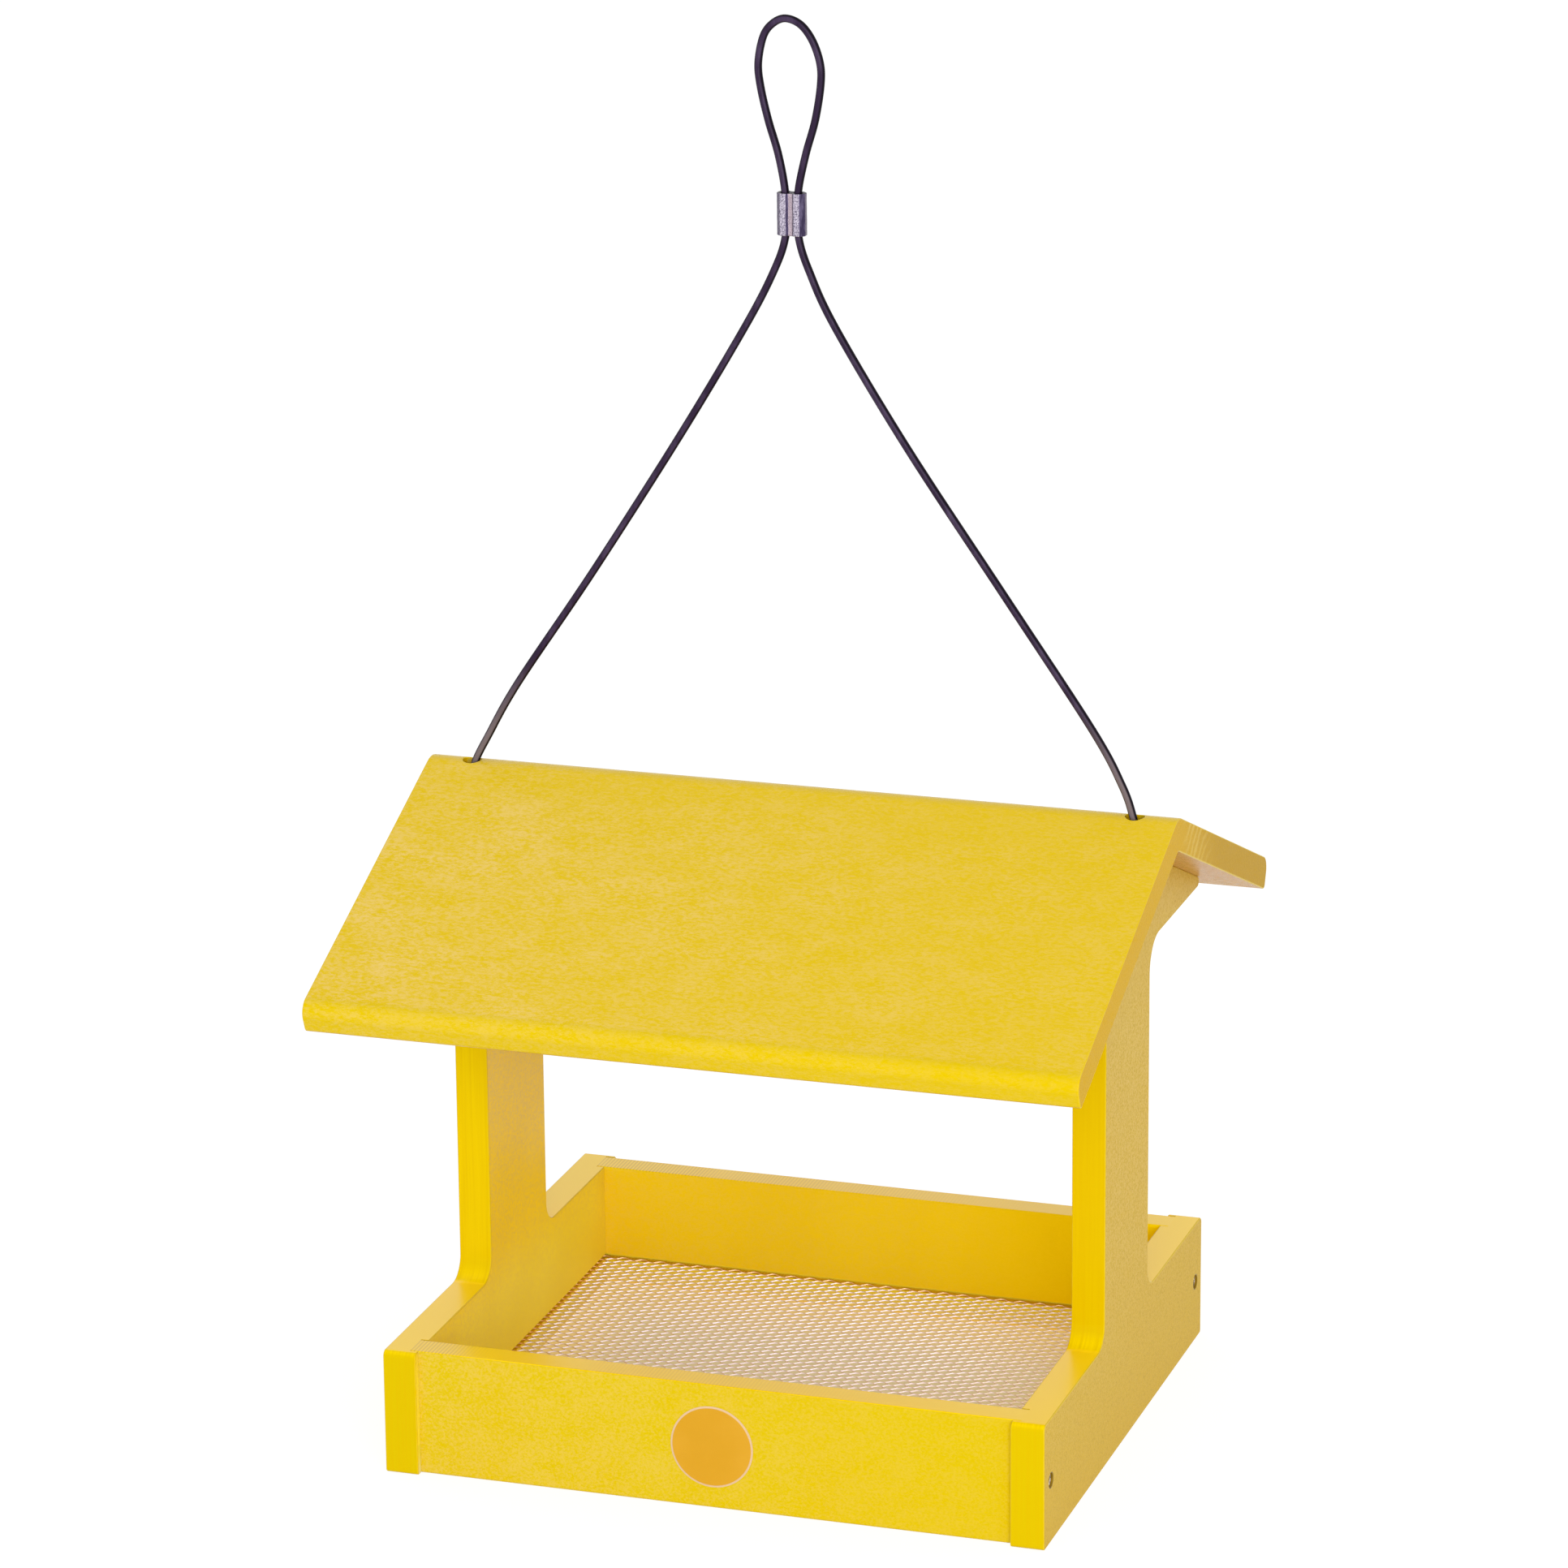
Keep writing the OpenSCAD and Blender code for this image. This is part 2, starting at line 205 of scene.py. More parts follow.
# Colours of the boards: the plain yellow and its flecks, then each face and edge. Several are
# lit or shaded copies of the one yellow: painted light and shade
YELLOW = linear(218, 184, 0)
# The pale flecks are partly the plastic's own and partly painted sheen
FLECK = linear(226, 194, 106)
OLIVE = linear(186, 144, 0)
CUT_YELLOW = linear(216, 170, 4)
DEEP_YELLOW = linear(212, 172, 0)
EAVE_YELLOW = linear(208, 179, 0)
# The roof's underside: painted shade
UNDER_SHADE_TAN = linear(204, 146, 66)
WORN_YELLOW = linear(234, 202, 104)
FRONT_YELLOW = linear(212, 184, 0)
BACK_LIT_YELLOW = linear(240, 206, 20)
RIGHT_LIT_YELLOW = linear(255, 220, 0)
# Outer faces in painted shade, and inner faces and their lower part in painted light
OUTER_YELLOW = linear(214, 175, 0)
INNER_LIT_YELLOW = linear(252, 216, 26)
LOW_LIT_YELLOW = linear(255, 232, 60)
LIT_EDGE_YELLOW = linear(228, 196, 0)
LIT_ARC_YELLOW = linear(242, 212, 0)
LIT_TOP_YELLOW = linear(255, 218, 14)
ARRIS_HIGHLIGHT_YELLOW = linear(220, 188, 36)
PALE_FOOT = linear(238, 222, 140)
GOLD_FOOT = linear(240, 222, 60)

# Shine of the boards, and of their smooth level edges
POLY_SHEEN = 0.2
SHEEN_TINT = (1.0, 0.75, 0.1, 1)
POLY_IOR = 1.45
TOP_SHEEN = 0.75
TOP_ROUGHNESS = 0.3


def mottle(shader, size, streak, tone, ground):
    """Colour and relief of the boards' moulded faces: yellow, thick with paler flecks.

    The flecks have a size and are drawn out along X by a streak, and tone is how far they show.
    They are partly painted sheen of the textured surface.
    """
    clumps = shader.noise(11 * MM, (1.5, 1, 1), 3, 0.5)
    flecks = shader.noise(size, (streak, 1, 1), 6, 0.75)
    fibres = shader.noise(0.5 * MM, (6, 1, 1), 2, 0.5)
    share = shader.plus(shader.times(flecks, 0.82), shader.times(clumps, 0.18))
    share = shader.rise(share, 0.41, 0.6)
    colour = shader.mix(shader.times(share, tone), ground, FLECK)
    relief = shader.plus(flecks, shader.times(fibres, 0.4))
    return colour, relief


def polish_tops(shader, roughness):
    """Level faces shine like the smooth cut edges they are, and the others keep a yellow sheen."""
    top = shader.rise(shader.unsigned(shader.normal("Z")), 0.93, 0.995)
    level = shader.plus(POLY_SHEEN, shader.times(top, TOP_SHEEN - POLY_SHEEN))
    shader.set(Specular_IOR_Level=level, Specular_Tint=shader.mix(top, SHEEN_TINT, WHITE))
    rough_top = shader.times(shader.minus(TOP_ROUGHNESS, roughness), top)
    shader.set(Roughness=shader.plus(roughness, rough_top))
    return top


# The roof: how far out its eaves' noses are, and the saw's arcs on its ends, whose centre (y, z)
# lay below the back eave, with where they fade away from the ridge and begin behind it
EAVE_Y = (161 * MM, 165 * MM)
SAW_CENTRE = (110 * MM, 130 * MM)
SAW_PITCH = 6.5 * MM
SAW_WANDER = 30 * MM
SAW_FADE_Y = (90 * MM, 20 * MM)
SAW_START_Y = (-10 * MM, 30 * MM)


def saw_arcs(shader, y, z):
    """Rings from 0 to 1, as a saw blade leaves on an end, which show just behind the ridge."""
    reach = shader.reach(shader.minus(y, SAW_CENTRE[0]), shader.minus(z, SAW_CENTRE[1]))
    reach = shader.plus(reach, shader.times(shader.noise(40 * MM), SAW_WANDER))
    arcs = shader.stripes(reach, SAW_PITCH)
    near_ridge = shader.rise(shader.unsigned(y), *SAW_FADE_Y)
    return shader.times(shader.times(arcs, near_ridge), shader.rise(y, *SAW_START_Y))


def roof_material():
    """The roof: flecked slopes, plainer eaves, grained underside, and ends with the saw's arcs."""
    shader = Shader("roof_poly")
    x, y, z = shader.split(shader.place)
    # Flecks thin out to the right, a painted change of light, and in patches and near the ridge
    tone = shader.plus(0.4, shader.times(shader.rise(x, 0.20, -0.25), 0.56))
    patches = shader.rise(shader.noise(26 * MM, (1.8, 1, 1), 4, 0.55), 0.36, 0.6, 0.32)
    tone = shader.times(tone, shader.minus(1.08, patches))
    tone = shader.times(tone, shader.rise(shader.unsigned(y), -0.08, 0.06))
    moulded, relief = mottle(shader, 1.4 * MM, 2.0, tone, YELLOW)
    eaves = shader.rise(shader.unsigned(y), *EAVE_Y)
    colour = shader.mix(shader.times(eaves, 0.55), moulded, EAVE_YELLOW)
    # Faces that look down take a darker tan, painted shade, with paler grain
    grain = shader.noise(1.1 * MM, (30, 1, 1), 4, 0.6)
    under = shader.rise(shader.normal("Z"), -0.7, -0.85)
    shaded_grain = shader.mix(shader.rise(grain, 0.35, 0.65, 0.6), UNDER_SHADE_TAN, FLECK)
    colour = shader.mix(under, colour, shaded_grain)
    arcs = saw_arcs(shader, y, z)
    grit = shader.noise(1.6 * MM, (1, 1, 1), 4, 0.6)
    # The ends turn olive towards the back: painted shade
    sawn = shader.mix(shader.rise(y, -0.01, 0.08, 0.72), CUT_YELLOW, OLIVE)
    sawn = shader.mix(shader.rise(arcs, 0.2, 1.0, 0.55), sawn, WORN_YELLOW)
    sawn = shader.mix(shader.rise(grit, 0.4, 0.7, 0.12), sawn, DEEP_YELLOW)
    ends = shader.facing("X")
    shader.set(Base_Color=shader.mix(ends, colour, sawn), Specular_Tint=SHEEN_TINT)
    matt = shader.times(shader.larger(ends, under), 0.17)
    shader.set(Specular_IOR_Level=shader.minus(POLY_SHEEN, matt))
    shader.set(IOR=shader.minus(POLY_IOR, shader.times(ends, 0.14)))
    shader.set(Roughness=shader.rise(relief, 0.3, 1.2, 0.6))
    slopes = shader.times(relief, shader.minus(1, ends))
    shader.bump(shader.plus(slopes, shader.times(arcs, 0.2)), 0.07 * MM)
    return shader.material


# Inner faces of the boards, the middle of the panels' thickness, and the kerf in the inner faces
# that holds the floor screen, with its lower face and a level inside the screen
RAIL_IN_Y = 120.6 * MM
PANEL_IN_X = 142.1 * MM
PANEL_MID_X = 150 * MM
KERF_DEPTH = 4.3 * MM
KERF_Z = (11.4 * MM, 14.6 * MM)
KERF_FOOT_Z = 12 * MM
SCREEN_LEVEL = 13 * MM
# On the panels' inner faces the lower part is paler, which is painted light, and their edges
# turn from arms into posts
LOW_Z = (80 * MM, 40 * MM)
POST_Z = (55 * MM, 80 * MM)
# Screws in the panels, and the painted shade round them
SCREW_Y = 127.95 * MM
SCREW_Z = 30 * MM
SCREW_SHADE_R = 4 * MM
SCREW_SHADE = linear(132, 102, 26)
# Pitch of the marks that the cutter left on the rails' tops
CHATTER_PITCH = 1.7 * MM


def screw_shaded(shader, colour):
    """A colour with painted shade round the screws, on the walls and rims of their bores."""
    _, y, z = shader.split(shader.place)
    reach = shader.reach(shader.minus(shader.unsigned(y), SCREW_Y), shader.minus(z, SCREW_Z))
    return shader.mix(shader.rise(reach, SCREW_SHADE_R, SCREW_SHADE_R - 0.2 * MM), colour, SCREW_SHADE)


def painted_light_foot(shader, colour, across, z, inner_face):
    """A colour with painted light on a board's inner face, under the floor screen and in the kerf.
    """
    across = shader.unsigned(across)
    face = shader.rise(across, inner_face + 0.4 * MM, inner_face + 0.2 * MM)
    below = shader.times(face, shader.rise(z, SCREEN_LEVEL, SCREEN_LEVEL - 0.5 * MM))
    kerf_end = inner_face + KERF_DEPTH
    kerf = shader.rise(across, kerf_end + 0.3 * MM, kerf_end)
    kerf = shader.times(kerf, shader.rise(z, KERF_Z[1], KERF_Z[1] - 0.2 * MM))
    kerf = shader.times(kerf, shader.rise(z, KERF_Z[0], KERF_Z[0] + 0.4 * MM))
    foot = shader.mix(shader.rise(z, 0.0, KERF_FOOT_Z), PALE_FOOT, GOLD_FOOT)
    return shader.mix(shader.larger(below, kerf), colour, foot)


def rail_material(name, flecked, ground, banded, brighter):
    """A rail: flecked faces, and sawn top and bottom edges with the cutter's chatter marks.

    Its faces are flecked and banded by a share, and turn brighter by one towards the right,
    which is painted light.
    """
    shader = Shader(name)
    x, y, z = shader.split(shader.place)
    tone = shader.rise(x, 0.35, -0.25, flecked)
    moulded, relief = mottle(shader, 1.2 * MM, 1.2, tone, ground)
    marks = shader.stripes(x, CHATTER_PITCH)
    fade = shader.rise(shader.noise(70 * MM, (1, 3, 3), 2, 0.5), 0.36, 0.6)
    fade = shader.times(fade, shader.rise(x, 0.12, -0.14))
    marks = shader.times(marks, fade)
    # The level edges take a brighter yellow, painted light, with the cutter's marks
    sawn = shader.mix(shader.times(marks, 0.45), LIT_TOP_YELLOW, OLIVE)
    edges = shader.facing("Z")
    bands = shader.noise(45 * MM, (1, 1, 4), 2, 0.5)
    moulded = shader.mix(shader.rise(bands, 0.4, 0.7, banded), moulded, CUT_YELLOW)
    # Painted light: brighter towards the right
    moulded = shader.mix(shader.rise(x, 0.0, 0.11, brighter), moulded, RIGHT_LIT_YELLOW)
    # Painted light low on the inner face and in the kerf
    moulded = painted_light_foot(shader, moulded, y, z, RAIL_IN_Y)
    shader.set(Base_Color=shader.mix(edges, moulded, sawn))
    polish_tops(shader, shader.rise(relief, 0.25, 1.2, 0.6))
    height = shader.times(relief, shader.minus(1, shader.times(edges, 0.8)))
    height = shader.plus(height, shader.times(shader.times(marks, edges), 0.5))
    shader.bump(height, 0.07 * MM)
    return shader.material


def panel_material():
    """The end panels: finely speckled faces, and glossy routed edges lined by the cutter."""
    shader = Shader("panel_poly")
    x, _, z = shader.split(shader.place)
    clouds = shader.noise(45 * MM, (1, 1, 1), 3, 0.5)
    specks = shader.noise(1.2 * MM, (1, 1, 1), 5, 0.8)
    # The inner faces are painted brighter than the outer ones: painted light inside, painted shade
    # outside
    inside = shader.rise(shader.unsigned(x), PANEL_MID_X + 2 * MM, PANEL_MID_X - 2 * MM)
    inner = shader.mix(shader.rise(z, *LOW_Z), INNER_LIT_YELLOW, LOW_LIT_YELLOW)
    face = shader.mix(inside, OUTER_YELLOW, inner)
    # Pale specks, partly painted sheen, fewer low down
    paler = shader.times(shader.rise(specks, 0.42, 0.6), shader.rise(z, -0.03, 0.13, 0.66))
    face = shader.mix(paler, face, FLECK)
    face = shader.mix(shader.rise(clouds, 0.3, 0.7, 0.12), face, CUT_YELLOW)
    darker = shader.minus(1, inside)
    face = shader.mix(shader.times(shader.rise(specks, 0.5, 0.36, 0.62), darker), face, OLIVE)
    # Painted light low on the inner face and in the kerf
    face = painted_light_foot(shader, face, x, z, PANEL_IN_X)
    lines = shader.noise(1.1 * MM, (1, 60, 60), 3, 0.55)
    # The left post's edges are painted brighter than the right post's: painted light
    post = shader.mix(shader.rise(x, -0.12, 0.12), LIT_EDGE_YELLOW, YELLOW)
    edge = shader.mix(shader.rise(z, *POST_Z), FRONT_YELLOW, post)
    # Edges that turn up towards the top are painted brighter: painted light
    edge = shader.mix(shader.rise(shader.normal("Z"), 0.3, 0.95), edge, LIT_ARC_YELLOW)
    edge = shader.mix(shader.rise(lines, 0.3, 0.75, 0.5), edge, OUTER_YELLOW)
    faces = shader.facing("X")
    top = polish_tops(shader, shader.plus(0.22, shader.times(faces, 0.2)))
    # Level tops take a brighter yellow: painted light
    edge = shader.mix(top, edge, LIT_TOP_YELLOW)
    shader.set(Base_Color=screw_shaded(shader, shader.mix(faces, edge, face)))
    relief = shader.plus(shader.times(specks, faces), shader.times(lines, 0.15))
    shader.bump(relief, 0.12 * MM)
    shader.set(IOR=shader.minus(POLY_IOR, shader.times(faces, 0.05)))
    return shader.material


def arris_material():
    """The eased arrises of the boards, paler than the faces beside them in patches: painted
    highlight.
    """
    shader = Shader("arris_poly")
    arris_patches = shader.noise(5 * MM, (1, 1, 1), 5, 0.6)
    highlighted = shader.mix(shader.rise(arris_patches, 0.3, 0.6), YELLOW, ARRIS_HIGHLIGHT_YELLOW)
    shader.set(Base_Color=screw_shaded(shader, highlighted))
    shader.set(Roughness=0.3, Specular_IOR_Level=POLY_SHEEN, Specular_Tint=SHEEN_TINT)
    shader.bump(arris_patches, 0.05 * MM)
    return shader.material


# The floor screen: painted light from its back left to its front right, its dull spots, painted
# shade on the sides that face left, and painted shade and yellow reflection along the left panel
# and the back rail
STRAND_SHADED_GREY = linear(222, 212, 228)
STRAND_LIT_WHITE = linear(255, 244, 255)
MILL_DULL = linear(236, 224, 234)
STRAND_SHADED_SIDE = linear(226, 206, 184)
EDGE_SHADE_ORANGE = linear(236, 184, 92)
EDGE_SHADE_X = (-138.5 * MM, -140.5 * MM)
EDGE_SHADE_Y = (115.5 * MM, 118.5 * MM)


def screen_material():
    """Mill-finish strands, dulled here and there, with fine drawing lines and painted light and
    shade.
    """
    shader = Shader("screen_metal")
    dull = shader.noise(9 * MM, (1, 1, 1), 4, 0.6)
    lines = shader.noise(0.5 * MM, (8, 1, 1), 3, 0.5)
    x, y, _ = shader.split(shader.place)
    # Painted light: paler towards the front right, greyer towards the back left
    colour = shader.mix(shader.rise(shader.minus(x, y), -0.22, 0.2), STRAND_SHADED_GREY, STRAND_LIT_WHITE)
    colour = shader.mix(shader.rise(dull, 0.4, 0.7, 0.3), colour, MILL_DULL)
    # The sides that face left are painted darker: painted shade
    colour = shader.mix(shader.rise(shader.normal("X"), 0.0, -0.35), colour, STRAND_SHADED_SIDE)
    # Along the left panel and the back rail the strands are painted orange: painted shade and
    # yellow reflection
    edge_shade = shader.larger(shader.rise(x, *EDGE_SHADE_X, 0.85), shader.rise(y, *EDGE_SHADE_Y, 0.65))
    colour = shader.mix(edge_shade, colour, EDGE_SHADE_ORANGE)
    shader.set(Base_Color=colour, Metallic=0.66)
    shader.set(Roughness=shader.plus(0.4, shader.times(dull, 0.16)))
    shader.bump(lines, 0.015 * MM)
    return shader.material


# The crimped sleeves: flats scuffed by the jaws, and painted shade and reflection on the faces to
# the left, right and ends
SCUFF_DARK = linear(96, 88, 110)
SCUFF_BRIGHT = linear(202, 194, 210)
CREASE_GREY = linear(170, 150, 158)
CREASE_HALF_W = (1.4 * MM, 0.9 * MM)
ASIDE_SHADE_DARK = linear(54, 44, 74)
ASIDE_SHADE_PALE = linear(98, 88, 118)
LEFT_GREY = linear(76, 66, 92)
RIGHT_GREY = linear(128, 114, 130)
END_BLACK = linear(34, 28, 42)


def sleeve_material():
    """Crimped aluminium: flats scuffed by the jaws, painted shade and reflection on those that face
    aside.
    """
    shader = Shader("sleeve_metal")
    x, _, _ = shader.split(shader.place)
    grain = shader.noise(0.45 * MM, (1, 1, 1.5), 4, 0.7)
    streaks = shader.noise(1.6 * MM, (1, 1, 5), 4, 0.6)
    aside = shader.normal("X")
    lean = shader.plus(aside, shader.times(shader.minus(streaks, 0.5), 0.5))
    scuffed = shader.mix(shader.rise(grain, 0.38, 0.62), SCUFF_DARK, SCUFF_BRIGHT)
    low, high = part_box("cable_ferrule")
    off_middle = shader.unsigned(shader.minus(x, (low.x + high.x) / 2))
    scuffed = shader.mix(shader.rise(off_middle, *CREASE_HALF_W, 0.7), scuffed, CREASE_GREY)
    aside_shade = shader.mix(shader.rise(streaks, 0.4, 0.65), ASIDE_SHADE_DARK, ASIDE_SHADE_PALE)
    # Faces that turn right are painted dark, those that turn left grey, the farthest right paler,
    # and the ends black: painted shade and reflection
    colour = shader.mix(shader.rise(lean, 0.12, 0.3), scuffed, aside_shade)
    colour = shader.mix(shader.rise(lean, -0.4, -0.6, 0.75), colour, LEFT_GREY)
    colour = shader.mix(shader.rise(lean, 0.86, 0.96, 0.5), colour, RIGHT_GREY)
    colour = shader.mix(shader.facing("Z"), colour, END_BLACK)
    shader.set(Base_Color=colour, Metallic=0.7, Roughness=shader.rise(streaks, 0.0, 0.9, 0.65))
    shader.bump(grain, 0.1 * MM)
    return shader.material


# The screws' plating, dull with patches of painted highlight, and painted shade in their sunk faces
PLATE_DARK = linear(118, 94, 70)
PLATE_HIGHLIGHT = linear(255, 244, 224)
RECESS_SHADE = linear(60, 44, 24)


def screw_material():
    """Plated steel: marks across the head, patches of painted highlight, and painted shade in the
    recess.
    """
    shader = Shader("screw_steel")
    marks = shader.noise(1.1 * MM, (1, 1, 1.5), 4, 0.6)
    plate = shader.mix(shader.rise(marks, 0.38, 0.54), PLATE_DARK, PLATE_HIGHLIGHT)
    x, _, _ = shader.split(shader.place)
    face_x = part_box("rail_screws")[1].x
    sunk = shader.rise(shader.unsigned(x), face_x - 0.1 * MM, face_x - 0.5 * MM)
    shader.set(Base_Color=shader.mix(sunk, plate, RECESS_SHADE))
    shader.set(Metallic=0.95, Roughness=shader.rise(marks, 0.0, 1.0, 0.5))
    shader.bump(marks, 0.03 * MM)
    return shader.material


# The cable's vinyl and its scuffs, a painted highlight towards the roof's holes, and painted shade
# at its sides
VINYL = linear(44, 30, 54)
VINYL_SCUFF = linear(72, 58, 84)
VINYL_HIGHLIGHT = linear(122, 110, 112)
VINYL_SIDE_SHADE = linear(14, 6, 18)
HIGHLIGHT_Z = (0.36, 0.31)


def cable_material():
    """Dark vinyl over the cable's strands, with a soft shine and a few dull scuffs."""
    shader = Shader("cable_vinyl")
    scuffs = shader.noise(7 * MM, (1, 1, 3), 5, 0.6)
    skin = shader.noise(0.6 * MM, (1, 1, 3), 3, 0.5)
    vinyl = shader.mix(shader.rise(scuffs, 0.4, 0.75), VINYL, VINYL_SCUFF)
    _, _, z = shader.split(shader.place)
    # Paler towards the roof's holes: painted highlight
    vinyl = shader.mix(shader.rise(z, *HIGHLIGHT_Z, 0.8), vinyl, VINYL_HIGHLIGHT)
    # Darker at its sides: painted shade
    sides = shader.rise(shader.unsigned(shader.normal("Y")), 0.92, 0.6)
    shader.set(Base_Color=shader.mix(sides, vinyl, VINYL_SIDE_SHADE), Specular_IOR_Level=0.08)
    shader.set(Roughness=shader.plus(0.12, shader.times(scuffs, 0.25)))
    shader.bump(skin, 0.02 * MM)
    return shader.material


# The badge: its rim's width and thickness, the easing of its edges, the count of its sides, the
# radius of its face, and its colours
BADGE_RIM_W = 0.9 * MM
BADGE_RIM_T = 0.2 * MM
BADGE_RIM_EASE = 0.1 * MM
BADGE_FACE_EASE = 0.2 * MM
BADGE_STEPS = 96
BADGE_FACE_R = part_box("badge_disc")[1].x - BADGE_RIM_W
ORANGE = linear(207, 152, 26)
PALE_ORANGE = linear(212, 157, 36)
DEEP_ORANGE = linear(204, 146, 24)
RIM_TAN = linear(216, 184, 144)


def badge_material():
    """A plain printed film, orange, with a paler clear rim."""
    shader = Shader("badge_vinyl")
    x, _, z = shader.split(shader.place)
    middle_z = sum(corner.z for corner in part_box("badge_disc")) / 2
    reach = shader.reach(x, shader.minus(z, middle_z))
    tone = shader.noise(25 * MM, (1, 1, 1), 3, 0.5)
    dots = shader.noise(0.5 * MM, (1, 1, 1), 3, 0.6)
    colour = shader.mix(shader.rise(tone, 0.3, 0.7), ORANGE, PALE_ORANGE)
    colour = shader.mix(shader.rise(dots, 0.5, 0.8, 0.25), colour, DEEP_ORANGE)
    rim = shader.rise(reach, BADGE_FACE_R - BADGE_FACE_EASE, BADGE_FACE_R + BADGE_RIM_EASE)
    shader.set(Base_Color=shader.mix(rim, colour, RIM_TAN), Specular_IOR_Level=POLY_SHEEN)
    shader.set(Roughness=shader.plus(0.25, shader.times(dots, 0.15)))
    shader.bump(dots, 0.02 * MM)
    return shader.material


def add_piece(name, mesh, node, slot, *materials):
    """Makes a piece of a finished bmesh, which rides on the body and stands for a CAD node."""
    data = bpy.data.meshes.new(name)
    mesh.to_mesh(data)
    mesh.free()
    piece = bpy.data.objects.new(name, data)
    bpy.context.collection.objects.link(piece)
    for material in materials:
        data.materials.append(material)
    data.shade_smooth()
    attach(piece, "root")
    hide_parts(node)
    return piece


# How a CAD mesh gets whole flat faces, the angle from which its edges are arrises, and the
# segments of an eased one
WELD = 0.001 * MM
FLAT_ANGLE = math.radians(0.6)
CORNER_ANGLE = math.radians(28)
ARRIS_STEPS = 3
# Where a rail meets a panel, and how far out to the front and back the kerf runs
JOINT_X = (141 * MM, 147 * MM)
JOINT_Y = (120 * MM, 136 * MM)
KERF_OUT_Y = 125 * MM


def in_joint(edge):
    """Whether an edge lies where nothing is eased: in the joint of two boards, or in the kerf."""
    places = [(abs(vert.co.x), abs(vert.co.y), vert.co.z) for vert in edge.verts]
    if all(JOINT_X[0] < x < JOINT_X[1] and JOINT_Y[0] < y < JOINT_Y[1] for x, y, z in places):
        return True
    low, high = KERF_Z
    return all(x < JOINT_X[1] and y < KERF_OUT_Y and low < z < high for x, y, z in places)


def eased_copy(node, arris):
    """A copy of a CAD node's mesh, with whole flat faces and eased arrises in material slot 1."""
    mesh = bmesh.new()
    mesh.from_mesh(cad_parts[node].data)
    bmesh.ops.remove_doubles(mesh, verts=mesh.verts, dist=WELD)
    bmesh.ops.dissolve_limit(mesh, angle_limit=FLAT_ANGLE, verts=mesh.verts, edges=mesh.edges)
    for face in mesh.faces:
        face.material_index = 0
    sharp = [edge for edge in mesh.edges if edge.calc_face_angle() > CORNER_ANGLE]
    for edge in sharp:
        edge.smooth = not in_joint(edge)
    sharp = [edge for edge in sharp if edge.smooth]
    bmesh.ops.bevel(
        mesh, geom=sharp, offset=arris, segments=ARRIS_STEPS, profile=0.5, affect="EDGES",
        material=1,
    )
    return mesh


def flat_shading(piece):
    """Keeps big flat faces flat beside their eased arrises."""
    weighted = piece.modifiers.new("flat_faces", "WEIGHTED_NORMAL")
    weighted.keep_sharp = True


BOARD_ARRIS = 0.5 * MM


def make_boards():
    """The two end panels, the two rails and the roof."""
    arris = arris_material()
    panel = panel_material()
    front = rail_material("front_rail_poly", 0.5, FRONT_YELLOW, banded=0.12, brighter=0)
    # The back rail is painted brighter than the front one, and brighter to the right: painted light
    back = rail_material("back_rail_poly", 0.25, BACK_LIT_YELLOW, banded=0.08, brighter=1)
    roof = roof_material()
    finishes = {
        "left_end_panel": panel, "right_end_panel": panel,
        "front_rail": front, "back_rail": back, "roof": roof,
    }
    for node, finish in finishes.items():
        mesh = eased_copy(node, BOARD_ARRIS)
        flat_shading(add_piece(f"{node}_board", mesh, node, "yellow_poly", finish, arris))


# Expanded metal of the floor: the pitch of its diamonds, the section and tilt of its strands, how
# far they run into each other, and how far they end inside the sheet's edge
DIAMOND_X = 9.76 * MM
DIAMOND_Y = 5.08 * MM
STRAND_W = 1.0 * MM
STRAND_T = 0.5 * MM
STRAND_TILT = math.radians(20)
STRAND_OVERLAP = 0.02 * MM
SCREEN_MARGIN = 1.2 * MM
STRAND_CORNER = math.radians(40)
# Places along one wave of a strand, and how far it swings to the back there
STRAND_WAVE = ((0.1, 1), (0.25, 0), (0.4, -1), (0.6, -1), (0.75, 0), (0.9, 1))


def strand_stations(half_length, shift):
    """Where a strand has a section: its x, and its swing from -1 to 1."""
    waves = range(-int(half_length / DIAMOND_X) - 2, int(half_length / DIAMOND_X) + 2)
    stations = [
        ((wave + place + shift) * DIAMOND_X, swing)
        for wave in waves for place, swing in STRAND_WAVE
    ]
    return [station for station in stations if abs(station[0]) < half_length]


def make_screen(material):
    """The floor's expanded metal: wavy tilted strands that join their neighbours at each crest."""
    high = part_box("floor_screen")[1]
    across = Vector((0, math.cos(STRAND_TILT), -math.sin(STRAND_TILT))) * STRAND_W / 2
    through = Vector((0, math.sin(STRAND_TILT), math.cos(STRAND_TILT))) * STRAND_T / 2
    corners = (across + through, through - across, -across - through, across - through)
    row_gap = DIAMOND_Y / 2
    swing_y = row_gap / 2 - across.y + STRAND_OVERLAP
    # The strands lie against the top of the kerf that holds the sheet
    level = high.z - abs(across.z) * 2 - through.z
    rows = int((high.y - SCREEN_MARGIN - swing_y - across.y) / row_gap)
    mesh = bmesh.new()
    for row in range(-rows, rows + 1):
        rings = []
        for x, swing in strand_stations(high.x - SCREEN_MARGIN, row % 2 / 2):
            middle = Vector((x, row * row_gap + swing * swing_y, level - swing * across.z))
            rings.append([mesh.verts.new(middle + corner) for corner in corners])
        for ring, following in zip(rings, rings[1:]):
            for i in range(len(corners)):
                j = (i + 1) % len(corners)
                mesh.faces.new((ring[i], ring[j], following[j], following[i]))
        mesh.faces.new(rings[0][::-1])
        mesh.faces.new(rings[-1])
    screen = add_piece("expanded_metal_screen", mesh, "floor_screen", "screen_metal", material)
    screen.data.set_sharp_from_angle(angle=STRAND_CORNER)


